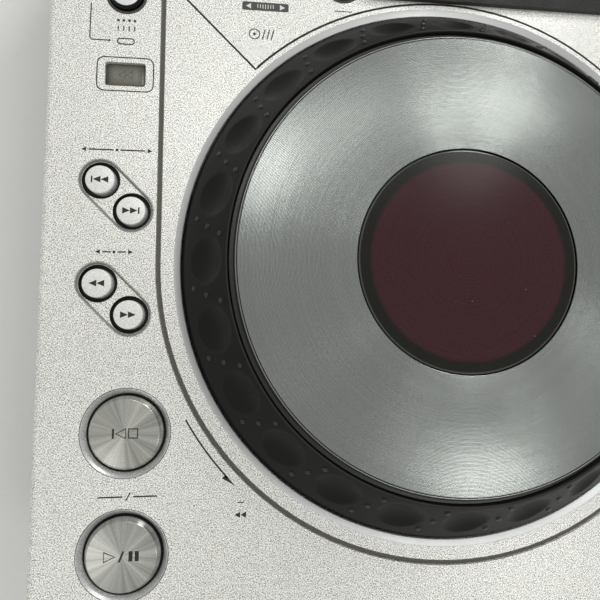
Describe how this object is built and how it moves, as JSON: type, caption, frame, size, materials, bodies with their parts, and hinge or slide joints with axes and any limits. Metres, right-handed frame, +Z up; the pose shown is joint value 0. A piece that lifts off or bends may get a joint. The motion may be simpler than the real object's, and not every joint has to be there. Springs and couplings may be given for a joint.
{
  "type": "tabletop dj cd player",
  "caption": "Tabletop disc player with a large dimpled jog wheel, touch plate, transport keys, tempo slider, sloped display hood and a front disc slot.",
  "frame": {"origin": "on the table under the middle of the body, at the underside of the feet", "axes": "+X to the right, +Y to the rear (the connector side), +Z up"},
  "size_m": [0.305, 0.344, 0.1085],
  "materials": {
    "case_silver": "metallic silver paint with a fine sparkle",
    "key_silver": "metallic silver paint",
    "tray_black": "black textured powder coat",
    "hood_grey": "dark grey satin",
    "smoked_window": "smoked gloss",
    "maroon_window": "dark maroon gloss",
    "display_dark": "dark display glass",
    "rubber_black": "matte black rubber",
    "carrier_black": "black moulded",
    "plate_aluminium": "fine concentric turned finish",
    "steel_cap": "spun with radial sheen",
    "key_grey": "translucent grey-brown",
    "key_black": "black",
    "ring_grey": "dark grey",
    "steel": "zinc-plated sheet",
    "screw_black": "black zinc",
    "board_green": "solder mask",
    "nickel": "nickel plate",
    "socket_black": "moulded"
  },
  "bodies": {
    "root": {"top_case": "case_silver", "jog_deck": "case_silver", "display_deck": "case_silver", "display_bezel": "hood_grey", "display_window": "smoked_window", "display_module": "display_dark", "transport_bezels": "key_silver", "key_plates": "key_silver", "button_bezels": "ring_grey", "base_tray": "tray_black", "feet": "rubber_black", "rear_panel": "tray_black", "case_screws": "screw_black", "rear_jacks": "nickel", "ac_inlet": "socket_black", "encoder_sensor": "carrier_black", "jog_carrier": "carrier_black", "jog_display": "display_dark", "key_boards": "board_green", "tact_switches": "key_black", "tempo_fader": "steel", "brake_pot": "steel", "slot_bezel": "carrier_black", "drive_frame": "steel", "drive_dampers": "rubber_black", "main_board": "board_green", "power_board": "board_green"},
    "jog_wheel": {"jog_ring": "rubber_black", "jog_hub": "carrier_black", "touch_switch_ring": "carrier_black", "encoder_ring": "steel"},
    "jog_top": {"jog_plate": "plate_aluminium", "jog_window": "maroon_window"},
    "traverse": {"traverse_plate": "steel", "sled_rails": "steel", "spindle_motor": "steel"},
    "turntable": {"disc_hub": "carrier_black"},
    "screw": {"lead_screw": "steel"},
    "pickup": {"pickup_sled": "carrier_black"},
    "roller": {"loading_roller": "rubber_black"},
    "tempo": {"tempo_knob": "key_black"},
    "brake": {"brake_knob": "key_black"},
    "rocker": {"power_rocker": "key_black"},
    "play_key": {"play_button": "steel_cap"},
    "cue_key": {"cue_button": "steel_cap"},
    "track_back_key": {"track_back_button": "key_silver"},
    "track_next_key": {"track_next_button": "key_silver"},
    "search_back_key": {"search_back_button": "key_silver"},
    "search_forward_key": {"search_forward_button": "key_silver"},
    "reverse_key": {"reverse_button": "key_grey"},
    "beat_loop_key": {"beat_loop_button": "key_black"},
    "memory_key": {"memory_button": "key_black"},
    "loop_in_key": {"loop_in_button": "key_black"},
    "loop_out_key": {"loop_out_button": "key_black"},
    "reloop_key": {"reloop_button": "key_grey"},
    "master_tempo_key": {"master_tempo_button": "key_black"},
    "tempo_range_key": {"tempo_range_button": "key_black"},
    "jog_mode_key": {"jog_mode_button": "key_black"},
    "eject_key": {"eject_button": "key_black"},
    "time_mode_key": {"time_mode_button": "key_black"}
  },
  "joints": [
    {"name": "jog_spin", "type": "hinge", "parent": "root", "child": "jog_wheel", "pos_m": [0, -0.034, 0.074], "axis": [0, 0, 1], "continuous": true},
    {"name": "jog_touch", "type": "slide", "parent": "jog_wheel", "child": "jog_top", "axis": [0, 0, -1], "range_m": [0, 0.0004], "stiffness_N_per_m": 6000, "springref_m": -0.0008},
    {"name": "tempo_slide", "type": "slide", "parent": "root", "child": "tempo", "axis": [0, 1, 0], "range_m": [-0.05, 0.05]},
    {"name": "brake_turn", "type": "hinge", "parent": "root", "child": "brake", "pos_m": [0.131, 0.074, 0.08], "axis": [0, 0, 1], "range_deg": [-150, 150]},
    {"name": "power_rock", "type": "hinge", "parent": "root", "child": "rocker", "pos_m": [0.08, 0.1585, 0.038], "axis": [1, 0, 0], "range_deg": [0, 16]},
    {"name": "roller_spin", "type": "hinge", "parent": "root", "child": "roller", "pos_m": [0, -0.157, 0.0416], "axis": [1, 0, 0], "continuous": true},
    {"name": "traverse_lift", "type": "slide", "parent": "root", "child": "traverse", "axis": [0, 0, 1], "range_m": [0, 0.0035]},
    {"name": "spindle_spin", "type": "hinge", "parent": "traverse", "child": "turntable", "pos_m": [0, -0.1, 0.0434], "axis": [0, 0, 1], "continuous": true},
    {"name": "pickup_slide", "type": "slide", "parent": "traverse", "child": "pickup", "axis": [0, 1, 0], "range_m": [0, 0.036]},
    {"name": "screw_spin", "type": "hinge", "parent": "traverse", "child": "screw", "pos_m": [0.03, -0.058, 0.0434], "axis": [0, 1, 0], "continuous": true},
    {"name": "play_press", "type": "slide", "parent": "root", "child": "play_key", "axis": [0, 0, -1], "range_m": [0, 0.001], "stiffness_N_per_m": 500, "springref_m": -0.002},
    {"name": "cue_press", "type": "slide", "parent": "root", "child": "cue_key", "axis": [0, 0, -1], "range_m": [0, 0.001], "stiffness_N_per_m": 500, "springref_m": -0.002},
    {"name": "track_back_press", "type": "slide", "parent": "root", "child": "track_back_key", "axis": [0, 0, -1], "range_m": [0, 0.0008], "stiffness_N_per_m": 400, "springref_m": -0.002},
    {"name": "track_next_press", "type": "slide", "parent": "root", "child": "track_next_key", "axis": [0, 0, -1], "range_m": [0, 0.0008], "stiffness_N_per_m": 400, "springref_m": -0.002},
    {"name": "search_back_press", "type": "slide", "parent": "root", "child": "search_back_key", "axis": [0, 0, -1], "range_m": [0, 0.0008], "stiffness_N_per_m": 400, "springref_m": -0.002},
    {"name": "search_forward_press", "type": "slide", "parent": "root", "child": "search_forward_key", "axis": [0, 0, -1], "range_m": [0, 0.0008], "stiffness_N_per_m": 400, "springref_m": -0.002},
    {"name": "reverse_press", "type": "slide", "parent": "root", "child": "reverse_key", "axis": [0, 0, -1], "range_m": [0, 0.0008], "stiffness_N_per_m": 400, "springref_m": -0.002},
    {"name": "beat_loop_press", "type": "slide", "parent": "root", "child": "beat_loop_key", "axis": [0, 0, -1], "range_m": [0, 0.0008], "stiffness_N_per_m": 400, "springref_m": -0.002},
    {"name": "memory_press", "type": "slide", "parent": "root", "child": "memory_key", "axis": [0, 0, -1], "range_m": [0, 0.0008], "stiffness_N_per_m": 400, "springref_m": -0.002},
    {"name": "loop_in_press", "type": "slide", "parent": "root", "child": "loop_in_key", "axis": [0, 0, -1], "range_m": [0, 0.0008], "stiffness_N_per_m": 400, "springref_m": -0.002},
    {"name": "loop_out_press", "type": "slide", "parent": "root", "child": "loop_out_key", "axis": [0, 0, -1], "range_m": [0, 0.0008], "stiffness_N_per_m": 400, "springref_m": -0.002},
    {"name": "reloop_press", "type": "slide", "parent": "root", "child": "reloop_key", "axis": [0, 0, -1], "range_m": [0, 0.0008], "stiffness_N_per_m": 400, "springref_m": -0.002},
    {"name": "master_tempo_press", "type": "slide", "parent": "root", "child": "master_tempo_key", "axis": [0, 0, -1], "range_m": [0, 0.0008], "stiffness_N_per_m": 400, "springref_m": -0.002},
    {"name": "tempo_range_press", "type": "slide", "parent": "root", "child": "tempo_range_key", "axis": [0, 0, -1], "range_m": [0, 0.0008], "stiffness_N_per_m": 400, "springref_m": -0.002},
    {"name": "jog_mode_press", "type": "slide", "parent": "root", "child": "jog_mode_key", "axis": [0, 0, -1], "range_m": [0, 0.0008], "stiffness_N_per_m": 400, "springref_m": -0.002},
    {"name": "eject_press", "type": "slide", "parent": "root", "child": "eject_key", "axis": [0, 0, -1], "range_m": [0, 0.0008], "stiffness_N_per_m": 400, "springref_m": -0.002},
    {"name": "time_mode_press", "type": "slide", "parent": "root", "child": "time_mode_key", "axis": [0, 0.3613, -0.9325], "range_m": [0, 0.0008], "stiffness_N_per_m": 400, "springref_m": -0.002}
  ],
  "couplings": [
    {"joint": "screw_spin", "follows": "pickup_slide", "rad_per_m": 1047.2}
  ]
}
